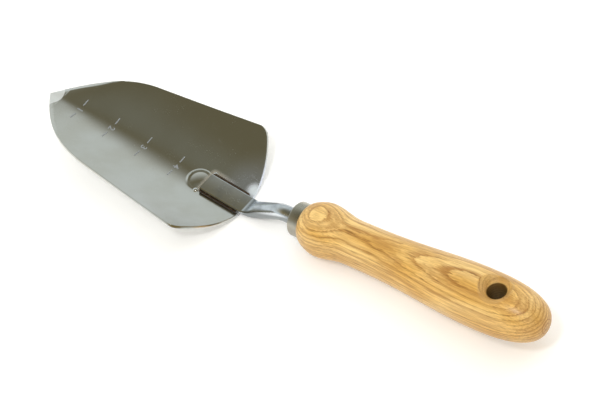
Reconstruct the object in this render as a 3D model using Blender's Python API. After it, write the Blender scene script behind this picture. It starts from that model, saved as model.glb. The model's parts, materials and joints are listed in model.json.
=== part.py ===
"""Garden trowel: a pressed steel blade, a forged tang welded into it, a ferrule and a turned ash handle.

Metres, +Z up. The trowel lies as it rests on a table, hollow side up: the blade's heel and the bulb at
the handle's front touch Z = 0, the tip points to -X, the butt to +X, and Y = 0 is the plane of symmetry.
The origin is the centre of the bounding box's bottom.

The blade and the tang are drawn in the blade's frame, where X runs back along the keel from the tip and
Z = 0 is the sheet's upper face on the keel. The handle and the ferrule are drawn about their own Z axis,
which runs from the handle's shoulder to its butt.
"""

import math

import bmesh
import bpy

MM = 0.001

# Blade, in plan
BLADE_LENGTH = 153.4 * MM
BLADE_HALF_WIDTH = 44.5 * MM
SIDE_FLARE = math.radians(6.8)
TIP_ARC_RADIUS = 84.5 * MM
REAR_ARC_RADIUS = 65.0 * MM
REAR_CORNER_RADIUS = 10.0 * MM

# Blade, in section: creased along the keel at the tip, and rounder towards the heel, between flatter wings
TROUGH_DEPTH = 17.3 * MM
KEEL_WIDTH_TIP = 2.5 * MM
KEEL_WIDTH_HEEL = 30.0 * MM
KEEL_GROWTH = 90.0 * MM
SHEET_THICKNESS = 1.5 * MM

# Bevel ground along the tip's edges, on the hollow side
BEVEL_WIDTH = 3.0 * MM
BEVEL_LENGTH = 34.0 * MM
CUTTING_EDGE = 0.5 * MM

# Seat pressed up under the tang's plate, with a round nose that shows in front of it
SEAT_HEIGHT = 0.8 * MM
SEAT_INSET = 1.6 * MM
SEAT_FLANK = 2.2 * MM
NOSE_REACH = 11.2 * MM
NOSE_MARGIN = 0.8 * MM

# Tang: plate, cranked neck, and spike inside the handle
PLATE_LENGTH = 31.5 * MM
PLATE_WIDTH = 12.6 * MM
PLATE_THICKNESS = 2.6 * MM
PLATE_EDGE_RADIUS = 0.8 * MM
PLATE_OVERHANG = 0.9 * MM
FORGING_LENGTH = 11.0 * MM
FORGING_LIFT = 1.0 * MM
NECK_DIAMETER = 10.0 * MM
NECK_RISE = math.radians(34.6)
NECK_ROOT_BEND = 14.0 * MM
NECK_STRAIGHT = 18.6 * MM
NECK_TOP_BEND = 20.0 * MM
NECK_LEAD = 7.5 * MM
SPIKE_SHANK = 14.0 * MM
SPIKE_TAPER = 50.0 * MM
SPIKE_TIP_WIDTH = 3.0 * MM
SPIKE_TIP_EDGE_RADIUS = 0.4 * MM

# Ferrule, a cap over the wood's spigot
FERRULE_DIAMETER = 20.6 * MM
FERRULE_LENGTH = 7.4 * MM
FERRULE_WALL = 1.0 * MM
FERRULE_EDGE_RADIUS = 1.0 * MM

# Handle
HANDLE_PITCH = math.radians(11.7)
HANDLE_LENGTH = 160.8 * MM
SHOULDER_RADIUS = 10.6 * MM
BULB_AT = 12.0 * MM
BULB_RADIUS = 15.9 * MM
WAIST_AT = 33.0 * MM
WAIST_RADIUS = 13.1 * MM
SWELL_AT = 119.0 * MM
SWELL_RADIUS = 16.9 * MM
SHOULDER_FULLNESS = 1.5
SWELL_LAG = 1.3
BUTT_FULLNESS = 2.6
HOLE_AT = 131.0 * MM
HOLE_DIAMETER = 11.0 * MM
COUNTERSINK_DIAMETER = 20.2 * MM
COUNTERSINK_DEPTH = 4.6 * MM

# Clearances
GAP = 0.3 * MM
SPIKE_CLEARANCE = 0.4 * MM
CUTTER_OVERRUN = 3.0 * MM

# Faceting
TIP_ARC_STEPS = 14
SIDE_STEPS = 9
CORNER_STEPS = 5
REAR_ARC_STEPS = 10
NOSE_STEPS = 7
SEAT_COLUMNS = 3
FLANK_COLUMNS = 2
OUTER_COLUMNS = 5
INNER_SHARE = 0.7
RIM_SHARE = 0.25
RIM_MARGIN = 0.8 * MM
NEAREST_ROWS = 0.4 * MM
QUADRANT_POINTS = 6
BEND_STEPS = 7
FORGING_STEPS = 2
EDGE_STEPS = 3
TURNED_SIDES = 48
HOLE_SIDES = 32
SHOULDER_STEPS = 6
WAIST_STEPS = 6
SWELL_STEPS = 9
BUTT_STEPS = 9
MERGE = 0.01 * MM


def smooth(share):
    """An S-curve from 0 to 1 with level ends."""
    share = min(max(share, 0.0), 1.0)
    return share * share * (3.0 - 2.0 * share)


# Blade


class Plan:
    """Half of the blade's outline: tip arc, flaring side, rounded rear corner and rear arc, all tangent."""

    def __init__(self):
        along = (math.cos(SIDE_FLARE), math.sin(SIDE_FLARE))
        out = (-along[1], along[0])
        self.rear_centre = BLADE_LENGTH - REAR_ARC_RADIUS
        corner_x = self.rear_centre + math.sqrt(REAR_ARC_RADIUS**2 - BLADE_HALF_WIDTH**2)
        offset = corner_x * out[0] + BLADE_HALF_WIDTH * out[1]

        run = math.sqrt(2.0 * offset * TIP_ARC_RADIUS - offset**2)
        inset = offset - TIP_ARC_RADIUS
        self.tip_centre = (inset * out[0] + run * along[0], inset * out[1] + run * along[1])
        self.side_start = self.tip_centre[0] + TIP_ARC_RADIUS * out[0]

        inset = offset - REAR_CORNER_RADIUS
        base = (inset * out[0] - self.rear_centre, inset * out[1])
        reach = REAR_ARC_RADIUS - REAR_CORNER_RADIUS
        half = base[0] * along[0] + base[1] * along[1]
        run = -half + math.sqrt(half**2 - base[0] ** 2 - base[1] ** 2 + reach**2)
        self.corner_centre = (inset * out[0] + run * along[0], inset * out[1] + run * along[1])
        self.side_end = self.corner_centre[0] + REAR_CORNER_RADIUS * out[0]
        across = (self.corner_centre[0] - self.rear_centre) / reach
        self.rear_start = self.rear_centre + REAR_ARC_RADIUS * across
        self.side_at_start = self.tip_centre[1] + TIP_ARC_RADIUS * out[1]

    def half_width(self, x):
        """Half the blade's width at a distance from the tip."""
        if x <= self.side_start:
            cx, cy = self.tip_centre
            return max(cy + math.sqrt(TIP_ARC_RADIUS**2 - (x - cx) ** 2), 0.0)
        if x <= self.side_end:
            return self.side_at_start + (x - self.side_start) * math.tan(SIDE_FLARE)
        if x <= self.rear_start:
            cx, cy = self.corner_centre
            return cy + math.sqrt(REAR_CORNER_RADIUS**2 - (x - cx) ** 2)
        return math.sqrt(max(REAR_ARC_RADIUS**2 - (x - self.rear_centre) ** 2, 0.0))

    def rows(self):
        """Where the mesh has a row of points, from the tip to the heel."""
        cx, cy = self.tip_centre
        first = math.atan2(-cy, -cx) % math.tau
        found = arc_places(cx, TIP_ARC_RADIUS, first, math.pi / 2 + SIDE_FLARE, TIP_ARC_STEPS)
        found += spread(self.side_start, self.side_end, SIDE_STEPS)
        cx, cy = self.corner_centre
        last = math.acos((self.rear_start - self.rear_centre) / REAR_ARC_RADIUS)
        found += arc_places(cx, REAR_CORNER_RADIUS, math.pi / 2 + SIDE_FLARE, last, CORNER_STEPS)
        found += arc_places(self.rear_centre, REAR_ARC_RADIUS, last, 0.0, REAR_ARC_STEPS)
        nose = plate_front() - NOSE_REACH
        found += spread(nose - SEAT_FLANK, nose + nose_radius(), NOSE_STEPS)
        rows = [0.0]
        for x in sorted(found):
            if rows[-1] + NEAREST_ROWS < x < BLADE_LENGTH - NEAREST_ROWS:
                rows.append(x)
        return rows + [BLADE_LENGTH]


def spread(first, last, steps):
    return [first + (last - first) * step / steps for step in range(steps + 1)]


def arc_places(centre_x, radius, first, last, steps):
    return [centre_x + radius * math.cos(angle) for angle in spread(first, last, steps)]


def plate_front():
    return BLADE_LENGTH + PLATE_OVERHANG - PLATE_LENGTH


def seat_half_width():
    return PLATE_WIDTH / 2 - SEAT_INSET


def nose_radius():
    return PLATE_WIDTH / 2 + NOSE_MARGIN


def rim_height(width):
    """How high the rim stands over the keel's level, on an arc, where the blade has this half width."""
    radius = (BLADE_HALF_WIDTH**2 + TROUGH_DEPTH**2) / (2.0 * TROUGH_DEPTH)
    return radius - math.sqrt(radius**2 - width**2)


def trough(plan, x, y):
    """The trough's height over the keel, and its slope across: bent at the keel, flatter in the wings."""
    width = max(plan.half_width(min(x, plan.rear_start)), MERGE)
    keel = KEEL_WIDTH_TIP + (KEEL_WIDTH_HEEL - KEEL_WIDTH_TIP) * smooth(x / KEEL_GROWTH)
    rise = rim_height(width) / (math.hypot(width, keel) - keel)
    return rise * (math.hypot(y, keel) - keel), rise * y / math.hypot(y, keel)


def sheet_height(plan, x, y):
    """The sheet's upper face over the keel: the trough, with the seat and its nose pressed up in it."""
    height, _ = trough(plan, x, y)
    behind = x - (plate_front() - NOSE_REACH + nose_radius())
    outside_nose = math.hypot(behind, y) - nose_radius()
    outside_seat = math.hypot(min(behind, 0.0), y) - seat_half_width()
    outside = min(outside_nose, outside_seat)
    return height + (SEAT_HEIGHT - height) * smooth(1.0 - outside / SEAT_FLANK)


def bevel_share(x):
    """How much of the ground bevel is left at a distance from the tip."""
    return smooth((BEVEL_LENGTH - x) / (BEVEL_LENGTH / 2))


def row_points(plan, x):
    """Half a row of the sheet, from the keel to the rim: (y, height, depth ground off) for each column."""
    width = plan.half_width(x)
    foot = nose_radius() + SEAT_FLANK
    squeeze = min(1.0, INNER_SHARE * width / foot)
    rim = width - min(max(BEVEL_WIDTH * bevel_share(x), RIM_MARGIN), RIM_SHARE * width)
    places = spread(0.0, nose_radius() * squeeze, SEAT_COLUMNS)
    places += spread(nose_radius() * squeeze, foot * squeeze, FLANK_COLUMNS)[1:]
    places += spread(foot * squeeze, rim, OUTER_COLUMNS)[1:]
    points = [(y, sheet_height(plan, x, y), 0.0) for y in places]
    ground = (SHEET_THICKNESS - CUTTING_EDGE) * bevel_share(x)
    return points + [(width, sheet_height(plan, x, width), ground)]


def sheet_row(plan, x):
    """The upper and the lower points of one row, from the -Y rim to the +Y rim."""
    upper, lower = [], []
    for y, height, ground in row_points(plan, x):
        _, slope = trough(plan, x, y)
        plumb = 1.0 / math.hypot(1.0, slope)
        lean = slope * plumb
        upper.append((x, y + ground * lean, height - ground * plumb))
        lower.append((x, y + SHEET_THICKNESS * lean, height - SHEET_THICKNESS * plumb))
    return mirrored(upper), mirrored(lower)


def mirrored(points):
    return [(x, -y, z) for x, y, z in reversed(points[1:])] + points


def add_rows(mesh, rows):
    """Vertices for each row of points, one vertex for a row of no width."""
    made = []
    for row in rows:
        if abs(row[0][1] - row[-1][1]) < MERGE:
            made.append([mesh.verts.new(row[len(row) // 2])] * len(row))
        else:
            made.append([mesh.verts.new(point) for point in row])
    return made


def skin(mesh, rows):
    """Faces between neighbouring rows, with triangles where a row is a single vertex."""
    for first, second in zip(rows, rows[1:]):
        for a, b, c, d in zip(first, first[1:], second[1:], second):
            mesh.faces.new(list(dict.fromkeys((a, b, c, d))))


def build_blade():
    """The blade: upper and lower faces of the sheet, joined round the rim."""
    plan = Plan()
    pairs = [sheet_row(plan, x) for x in plan.rows()]
    mesh = bmesh.new()
    upper = add_rows(mesh, [pair[0] for pair in pairs])
    lower = add_rows(mesh, [pair[1] for pair in pairs])
    skin(mesh, upper)
    skin(mesh, lower)
    for side in (0, -1):
        edge = [[high[side], low[side]] for high, low in zip(upper, lower)]
        skin(mesh, edge)
    return finish_mesh(mesh, "blade", sharp_degrees=30.0)


# Tang


def tang_path():
    """The tang's centre line from the plate's front, as (length, turn, steps) of each stretch."""
    root_bend = NECK_ROOT_BEND * NECK_RISE
    forged = max(FORGING_LENGTH - root_bend, 0.0)
    top_turn = HANDLE_PITCH - NECK_RISE
    return (
        (PLATE_LENGTH, 0.0, 1),
        (root_bend, NECK_RISE, BEND_STEPS),
        (forged, 0.0, FORGING_STEPS if forged else 0),
        (NECK_STRAIGHT - forged, 0.0, 1),
        (NECK_TOP_BEND * abs(top_turn), top_turn, BEND_STEPS),
        (NECK_LEAD, 0.0, 1),
    )


def walk_tang():
    """Stations along the tang as (distance from the plate's rear end, x, z, direction)."""
    x = plate_front()
    z = SEAT_HEIGHT + GAP + PLATE_THICKNESS / 2
    angle, gone = 0.0, -PLATE_LENGTH
    stations = [(gone, x, z, angle)]
    for length, turn, steps in tang_path():
        for _ in range(steps):
            half_turn = turn / steps / 2
            chord = length / steps * (math.sin(half_turn) / half_turn if turn else 1.0)
            x += chord * math.cos(angle + half_turn)
            z += chord * math.sin(angle + half_turn)
            angle += turn / steps
            gone += length / steps
            stations.append((gone, x, z, angle))
    return stations


def handle_frame():
    """The shoulder's place on the handle's axis, in the blade's frame: (x, z)."""
    _, x, z, angle = walk_tang()[-1]
    return x + FERRULE_LENGTH * math.cos(angle), z + FERRULE_LENGTH * math.sin(angle)


def section(gone):
    """The tang's half width, half height, corner radius and lift at a distance from the plate's rear end."""
    share = smooth(gone / FORGING_LENGTH)
    neck = NECK_DIAMETER / 2
    plate = (PLATE_WIDTH / 2, PLATE_THICKNESS / 2, PLATE_EDGE_RADIUS)
    sizes = [size + (neck - size) * share for size in plate]
    return *sizes, 4.0 * FORGING_LIFT * share * (1.0 - share)


def ring(x, z, angle, half_width, half_height, corner, lift=0.0):
    """A rounded rectangle square to the centre line, which is a circle when its three sizes agree."""
    points = []
    for quadrant in range(4):
        for step in range(QUADRANT_POINTS):
            turn = (quadrant + (step + 0.5) / QUADRANT_POINTS) * math.pi / 2
            side = 1 if math.cos(turn) > 0 else -1
            top = 1 if math.sin(turn) > 0 else -1
            across = side * (half_width - corner) + corner * math.cos(turn)
            up = lift + top * (half_height - corner) + corner * math.sin(turn)
            points.append((x - up * math.sin(angle), across, z + up * math.cos(angle)))
    return points


def plate_rings():
    """The plate's front end, its edges rounded, and the run of the plate."""
    _, x, z, angle = walk_tang()[0]
    half_width, half_height, corner, _ = section(-PLATE_LENGTH)
    rings = []
    for step in range(EDGE_STEPS + 1):
        turn = step / EDGE_STEPS * math.pi / 2
        back = corner * (1.0 - math.sin(turn))
        inset = corner * (1.0 - math.cos(turn))
        size = (half_width - back, half_height - back, corner - back)
        rings.append(ring(x + inset, z, angle, *size))
    return rings


def neck_rings():
    """From the plate's rear end: the forged shoulder and the cranked round neck, to the ferrule's front."""
    return [ring(x, z, angle, *section(gone)) for gone, x, z, angle in walk_tang()[1:]]


def spike_rings():
    """Inside the handle: a round shank, then a taper to a small square end."""
    _, x, z, angle = walk_tang()[-1]
    neck = NECK_DIAMETER / 2
    ends = (
        (SPIKE_SHANK, neck, neck),
        (SPIKE_SHANK + SPIKE_TAPER, SPIKE_TIP_WIDTH / 2, SPIKE_TIP_EDGE_RADIUS),
    )
    return [
        ring(x + run * math.cos(angle), z + run * math.sin(angle), angle, half, half, corner)
        for run, half, corner in ends
    ]


def build_tang():
    """The tang: one forged bar from the plate's front to the spike's end."""
    mesh = bmesh.new()
    rings = []
    for points in plate_rings() + neck_rings() + spike_rings():
        rings.append([mesh.verts.new(point) for point in points])
    for first, second in zip(rings, rings[1:]):
        for index, vertex in enumerate(first):
            mesh.faces.new((first[index - 1], vertex, second[index], second[index - 1]))
    mesh.faces.new(rings[0])
    mesh.faces.new(rings[-1])
    return finish_mesh(mesh, "tang", sharp_degrees=35.0)


# Ferrule and handle, turned about Z


def ferrule_inside():
    return FERRULE_DIAMETER / 2 - FERRULE_WALL


def ferrule_profile():
    """(radius, z) round the ferrule's section, down its outer side first. The shoulder is at z = 0."""
    outer = FERRULE_DIAMETER / 2
    mouth = NECK_DIAMETER / 2 + GAP
    profile = [(ferrule_inside(), -GAP), (outer, -GAP)]
    for angle in spread(0.0, math.pi / 2, EDGE_STEPS):
        radius = outer - FERRULE_EDGE_RADIUS * (1.0 - math.cos(angle))
        z = -FERRULE_LENGTH + FERRULE_EDGE_RADIUS * (1.0 - math.sin(angle))
        profile.append((radius, z))
    floor = -FERRULE_LENGTH + FERRULE_WALL
    return profile + [(mouth, -FERRULE_LENGTH), (mouth, floor), (ferrule_inside(), floor)]


def handle_radius(z):
    """The turned handle's radius at a distance from its shoulder."""
    if z <= BULB_AT:
        rise = (1.0 - (1.0 - z / BULB_AT) ** SHOULDER_FULLNESS) ** (1.0 / SHOULDER_FULLNESS)
        return SHOULDER_RADIUS + (BULB_RADIUS - SHOULDER_RADIUS) * rise
    if z <= WAIST_AT:
        return ease(BULB_RADIUS, WAIST_RADIUS, (z - BULB_AT) / (WAIST_AT - BULB_AT))
    if z <= SWELL_AT:
        share = (z - WAIST_AT) / (SWELL_AT - WAIST_AT)
        return ease(WAIST_RADIUS, SWELL_RADIUS, share**SWELL_LAG)
    share = min((z - SWELL_AT) / (HANDLE_LENGTH - SWELL_AT), 1.0)
    return SWELL_RADIUS * (1.0 - share**BUTT_FULLNESS) ** (1.0 / BUTT_FULLNESS)


def ease(first, last, share):
    """A half-cosine blend."""
    return first + (last - first) * (1.0 - math.cos(math.pi * share)) / 2


def handle_stations():
    """Distances from the shoulder at which the turned outside has a point, from the butt down."""
    shoulder = [BULB_AT * (1.0 - math.cos(angle)) for angle in spread(0.0, math.pi / 2, SHOULDER_STEPS)]
    butt = HANDLE_LENGTH - SWELL_AT
    round_end = [SWELL_AT + butt * math.sin(angle) for angle in spread(0.0, math.pi / 2, BUTT_STEPS)]
    waist = spread(BULB_AT, WAIST_AT, WAIST_STEPS)[1:]
    swell = spread(WAIST_AT, SWELL_AT, SWELL_STEPS)[1:]
    return list(reversed(shoulder + waist + swell + round_end[1:]))


def handle_profile():
    """(radius, z) down the outside from the butt, round the spigot, and up the tang's bore."""
    profile = [(handle_radius(z), z) for z in handle_stations()]
    profile[0] = (0.0, HANDLE_LENGTH)
    spigot = ferrule_inside() - GAP
    front = -FERRULE_LENGTH + FERRULE_WALL + GAP
    corner = (SPIKE_TIP_WIDTH / 2 - SPIKE_TIP_EDGE_RADIUS) * math.sqrt(2.0) + SPIKE_TIP_EDGE_RADIUS
    mouth = NECK_DIAMETER / 2 + SPIKE_CLEARANCE
    taper_start = SPIKE_SHANK - FERRULE_LENGTH
    end = taper_start + SPIKE_TAPER + SPIKE_CLEARANCE
    bore = [(mouth, front), (mouth, taper_start), (corner + SPIKE_CLEARANCE, end), (0.0, end)]
    return profile + [(spigot, 0.0), (spigot, front)] + bore


def turned(name, profile, sides, closed=False):
    """An object whose profile is turned about Z with a Screw modifier."""
    data = bpy.data.meshes.new(name)
    points = [(radius, 0.0, z) for radius, z in profile]
    edges = [(index, index + 1) for index in range(len(points) - 1)]
    if closed:
        edges.append((len(points) - 1, 0))
    data.from_pydata(points, edges, [])
    obj = link(bpy.data.objects.new(name, data))
    screw = obj.modifiers.new("turn", "SCREW")
    screw.steps = screw.render_steps = sides
    screw.use_merge_vertices = True
    screw.merge_threshold = MERGE
    screw.use_smooth_shade = True
    return obj


def hole_profile():
    """(radius, z) of the hanging hole's cutter, with a countersink at each mouth."""
    crown = handle_radius(HOLE_AT)
    bore = HOLE_DIAMETER / 2
    slope = (COUNTERSINK_DIAMETER - HOLE_DIAMETER) / 2 / COUNTERSINK_DEPTH
    top = crown + CUTTER_OVERRUN
    wide = COUNTERSINK_DIAMETER / 2 + CUTTER_OVERRUN * slope
    seat = crown - COUNTERSINK_DEPTH
    return [(0.0, top), (wide, top), (bore, seat), (bore, -seat), (wide, -top), (0.0, -top)]


def build_handle(axis):
    """The handle, with the hanging hole cut straight through it in the plane of symmetry."""
    handle = turned("handle", handle_profile(), TURNED_SIDES)
    handle.parent = axis
    cutter = turned("hanging_hole_cutter", hole_profile(), HOLE_SIDES)
    cutter.parent = axis
    cutter.location = (0.0, 0.0, HOLE_AT)
    cutter.rotation_euler = (0.0, math.pi / 2, 0.0)
    cutter.hide_render = True
    cutter.display_type = "WIRE"
    cut = handle.modifiers.new("hanging hole", "BOOLEAN")
    cut.operation = "DIFFERENCE"
    cut.solver = "EXACT"
    cut.object = cutter
    return handle


# Scene


def link(obj):
    bpy.context.scene.collection.objects.link(obj)
    return obj


def finish_mesh(mesh, name, sharp_degrees):
    """A linked object from a bmesh, its faces turned outwards and shaded smooth between its sharp edges."""
    bmesh.ops.recalc_face_normals(mesh, faces=mesh.faces)
    data = bpy.data.meshes.new(name)
    mesh.to_mesh(data)
    mesh.free()
    data.shade_smooth()
    data.set_sharp_from_angle(angle=math.radians(sharp_degrees))
    return link(bpy.data.objects.new(name, data))


def material(name, colour, roughness, metallic):
    made = bpy.data.materials.new(name)
    made.use_nodes = True
    shader = made.node_tree.nodes["Principled BSDF"]
    shader.inputs["Base Color"].default_value = (*colour, 1.0)
    shader.inputs["Roughness"].default_value = roughness
    shader.inputs["Metallic"].default_value = metallic
    return made


def empty(name, parent=None):
    made = link(bpy.data.objects.new(name, None))
    made.parent = parent
    return made


def lowest_of_blade(blade, tilt):
    """How low the blade reaches when its tip is raised by a tilt about the blade frame's origin."""
    return min(v.co.z * math.cos(tilt) - v.co.x * math.sin(tilt) for v in blade.data.vertices)


def lowest_of_handle(tilt):
    """The same for the handle's outside."""
    x, z = handle_frame()
    slope = HANDLE_PITCH - tilt
    start = z * math.cos(tilt) - x * math.sin(tilt)
    lows = [start + at * math.sin(slope) - handle_radius(at) * math.cos(slope) for at in handle_stations()]
    return min(lows)


def rest_tilt(blade):
    """The tilt at which heel and handle touch one level surface, found by halving."""
    low, high = 0.0, math.radians(45.0)
    for _ in range(50):
        tilt = (low + high) / 2
        if lowest_of_blade(blade, tilt) < lowest_of_handle(tilt):
            low = tilt
        else:
            high = tilt
    return tilt


def clear_scene():
    for obj in list(bpy.data.objects):
        bpy.data.objects.remove(obj, do_unlink=True)


def main():
    clear_scene()
    blade = build_blade()
    tang = build_tang()

    root = empty("trowel")
    axis = empty("handle_axis", root)
    x, z = handle_frame()
    axis.location = (x, 0.0, z)
    axis.rotation_euler = (0.0, math.pi / 2 - HANDLE_PITCH, 0.0)
    blade.parent = tang.parent = root
    handle = build_handle(axis)
    ferrule = turned("ferrule", ferrule_profile(), TURNED_SIDES, closed=True)
    ferrule.parent = axis

    tilt = rest_tilt(blade)
    tip_x = -SHEET_THICKNESS * math.sin(tilt)
    slope = HANDLE_PITCH - tilt
    butt_x = x * math.cos(tilt) + z * math.sin(tilt) + HANDLE_LENGTH * math.cos(slope)
    root.rotation_euler = (0.0, tilt, 0.0)
    root.location = (-(tip_x + butt_x) / 2, 0.0, -lowest_of_blade(blade, tilt))

    steel = material("stainless_steel", (0.62, 0.63, 0.62), 0.22, 1.0)
    bright = material("polished_steel", (0.66, 0.67, 0.68), 0.12, 1.0)
    dull = material("turned_steel", (0.52, 0.52, 0.5), 0.3, 1.0)
    ash = material("lacquered_ash", (0.78, 0.53, 0.27), 0.3, 0.0)
    for obj, look in ((blade, steel), (tang, bright), (ferrule, dull), (handle, ash)):
        obj.data.materials.append(look)


main()
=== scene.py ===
"""The garden trowel's looks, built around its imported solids.

Metres, +Z up, in the frame of the CAD. The blade and the tang are modelled in the blade's own frame, where
X runs back along the keel from the tip and Z = 0 is the sheet's upper face on the keel. The ferrule and the
handle are modelled about Z, which runs from the handle's shoulder to its butt. Each finished piece is then
set down on the table.
"""

import json
import logging
import math
from contextlib import contextmanager
from dataclasses import dataclass
from enum import Enum
from typing import Callable, Iterator, Sequence, Union

import bmesh
import bpy
from mathutils import Matrix, Vector

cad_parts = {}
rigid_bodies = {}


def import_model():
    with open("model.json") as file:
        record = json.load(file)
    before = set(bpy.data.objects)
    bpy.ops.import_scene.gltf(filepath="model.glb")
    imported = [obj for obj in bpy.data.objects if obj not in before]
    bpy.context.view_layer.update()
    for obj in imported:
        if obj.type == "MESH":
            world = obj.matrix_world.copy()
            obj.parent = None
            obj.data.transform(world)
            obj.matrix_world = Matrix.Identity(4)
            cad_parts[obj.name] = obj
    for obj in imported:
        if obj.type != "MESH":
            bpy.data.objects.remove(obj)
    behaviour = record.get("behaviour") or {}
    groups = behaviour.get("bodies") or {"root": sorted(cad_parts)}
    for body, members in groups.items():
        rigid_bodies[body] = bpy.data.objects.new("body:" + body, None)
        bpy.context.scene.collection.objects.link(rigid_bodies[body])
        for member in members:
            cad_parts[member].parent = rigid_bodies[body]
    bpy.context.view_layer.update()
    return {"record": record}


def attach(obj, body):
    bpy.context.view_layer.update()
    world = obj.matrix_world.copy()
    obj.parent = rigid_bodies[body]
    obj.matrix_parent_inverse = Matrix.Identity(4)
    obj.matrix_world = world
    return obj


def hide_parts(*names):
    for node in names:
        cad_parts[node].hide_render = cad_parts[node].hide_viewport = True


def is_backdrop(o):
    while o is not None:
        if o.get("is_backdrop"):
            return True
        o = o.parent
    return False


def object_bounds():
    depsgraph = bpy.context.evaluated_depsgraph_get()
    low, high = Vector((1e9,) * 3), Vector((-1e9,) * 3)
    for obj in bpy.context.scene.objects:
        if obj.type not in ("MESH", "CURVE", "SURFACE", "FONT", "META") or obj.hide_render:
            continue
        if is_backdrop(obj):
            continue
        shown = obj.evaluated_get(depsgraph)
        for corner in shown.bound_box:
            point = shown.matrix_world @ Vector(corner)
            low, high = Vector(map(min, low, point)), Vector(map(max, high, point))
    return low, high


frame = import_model()

LOG = logging.getLogger("trowel")
MM = 0.001
MERGE = 0.002 * MM
QUARTER_TURN = math.pi / 2
SHARP_EDGE = math.radians(30.0)
PLATE_FRONT = 122.8 * MM
FERRULE_LENGTH = 7.4 * MM
HOLE_AT = 131.0 * MM
PHOTO_WIDTH, PHOTO_HEIGHT = 612, 408
SENSOR = 36.0

Piece = bpy.types.Object
Material = bpy.types.Material
Socket = bpy.types.NodeSocket
Pair = tuple[float, float]
Triple = tuple[float, float, float]
Input = Union[Socket, float, Triple]


class Slot(Enum):
    """The record's material slots."""

    BLADE = "blade_steel"
    TANG = "tang_steel"
    FERRULE = "ferrule_steel"
    HANDLE = "handle_wood"


# Hand tools


def pick(*objects: Piece) -> None:
    """Deselects everything, selects these objects and makes the first one active.

    Args:
        objects: The objects to work on.
    """
    for obj in bpy.context.view_layer.objects:
        obj.select_set(obj in objects)
    bpy.context.view_layer.objects.active = objects[0]


@contextmanager
def editing(obj: Piece) -> Iterator[None]:
    """Edit mode on one object, for the length of a with block.

    Args:
        obj: The mesh object to edit.
    """
    pick(obj)
    bpy.ops.object.mode_set(mode="EDIT")
    yield
    bpy.ops.object.mode_set(mode="OBJECT")


def named(name: str) -> Piece:
    """Names the object that was just added, and its data, and returns it."""
    bpy.context.object.name = bpy.context.object.data.name = name
    return bpy.context.object


def join(name: str, pieces: Sequence[Piece]) -> Piece:
    """Joins pieces into one, under a name of its own, and returns it."""
    pick(*pieces)
    bpy.ops.object.join()
    return named(name)


def settle(obj: Piece, **place: object) -> Piece:
    """Places an object and bakes its place into its mesh.

    Args:
        obj: The object.
        place: What changes of its location, rotation_euler, scale or matrix_world.

    Returns:
        The same object.
    """
    for key, value in place.items():
        setattr(obj, key, value)
    pick(obj)
    bpy.ops.object.transform_apply(location=True, rotation=True, scale=True)
    return obj


def apply_modifier(obj: Piece, kind: str, **settings: object) -> None:
    """Adds a modifier, sets it and applies it.

    Args:
        obj: The mesh object.
        kind: Blender's name for the modifier's type.
        settings: The modifier's properties.
    """
    modifier = obj.modifiers.new(kind.title(), kind)
    for key, value in settings.items():
        setattr(modifier, key, value)
    pick(obj)
    bpy.ops.object.modifier_apply(modifier=modifier.name)


def select_edges(obj: Piece, test: Callable[[bmesh.types.BMEdge], bool]) -> None:
    """In edit mode, selects the edges that pass a test and nothing else.

    Args:
        obj: The object in edit mode.
        test: Whether an edge is wanted.
    """
    mesh = bmesh.from_edit_mesh(obj.data)
    for part in (*mesh.verts, *mesh.edges, *mesh.faces):
        part.select = False
    for edge in [e for e in mesh.edges if test(e)]:
        edge.select_set(True)
    mesh.select_flush_mode()
    bmesh.update_edit_mesh(obj.data)


def close_mesh(obj: Piece) -> None:
    """Merges doubled points and turns every face outwards.

    Args:
        obj: The mesh object.
    """
    with editing(obj):
        bpy.ops.mesh.select_all(action="SELECT")
        bpy.ops.mesh.remove_doubles(threshold=MERGE)
        bpy.ops.mesh.normals_make_consistent(inside=False)


def turn(name: str, profile: Sequence[Pair], sides: int, filled: bool = True) -> Piece:
    """A piece turned about Z: a circle's rim, extruded and resized from each point of a profile to the next.

    Args:
        name: The piece's name.
        profile: (radius, z) of each ring. A last radius of 0 closes the piece in a point.
        sides: How many sides the circle has.
        filled: Whether the first ring is a disc, which then also caps the last one.

    Returns:
        The turned object.
    """
    radius, height = profile[0]
    fill = "TRIFAN" if filled else "NOTHING"
    bpy.ops.mesh.primitive_circle_add(vertices=sides, radius=radius, fill_type=fill, location=(0, 0, height))
    obj = settle(named(name))
    with editing(obj):
        bpy.ops.mesh.select_all(action="SELECT")
        for next_radius, next_height in profile[1:]:
            rise = (0.0, 0.0, next_height - height)
            bpy.ops.mesh.extrude_region_move(TRANSFORM_OT_translate={"value": rise})
            share = next_radius / radius
            bpy.ops.transform.resize(value=(share, share, 1.0), center_override=(0.0, 0.0, next_height))
            radius, height = next_radius, next_height
    close_mesh(obj)
    return obj


def finish(obj: Piece, place: Matrix, material: Material, nodes: Sequence[str]) -> None:
    """Args:
        obj: The piece, modelled in its own frame.
        place: That frame in the frame of the CAD.
        material: The material that it wears.
        nodes: The CAD nodes that it stands for.
    """
    settle(obj, matrix_world=place)
    bpy.ops.object.shade_smooth_by_angle(angle=SHARP_EDGE)
    obj.data.materials.clear()
    obj.data.materials.append(material)
    if nodes:
        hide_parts(*nodes)
    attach(obj, "root")
    LOG.info("%s: %d faces", obj.name, len(obj.data.polygons))


def smooth(share: float) -> float:
    """An S-curve from 0 to 1 with level ends."""
    share = min(max(share, 0.0), 1.0)
    return share * share * (3.0 - 2.0 * share)


def swell(distance: float) -> float:
    """A round hump, 1 high in the middle and 0 from one half width on."""
    return smooth(1.0 - abs(distance))


def wave(first: float, last: float, share: float) -> float:
    """A half-cosine blend between two values."""
    return first + (last - first) * (1.0 - math.cos(math.pi * share)) / 2


def spread(first: float, last: float, steps: int) -> list[float]:
    """Evenly spaced values, both ends included."""
    return [first + (last - first) * step / steps for step in range(steps + 1)]


# Where the drawings stand


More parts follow.
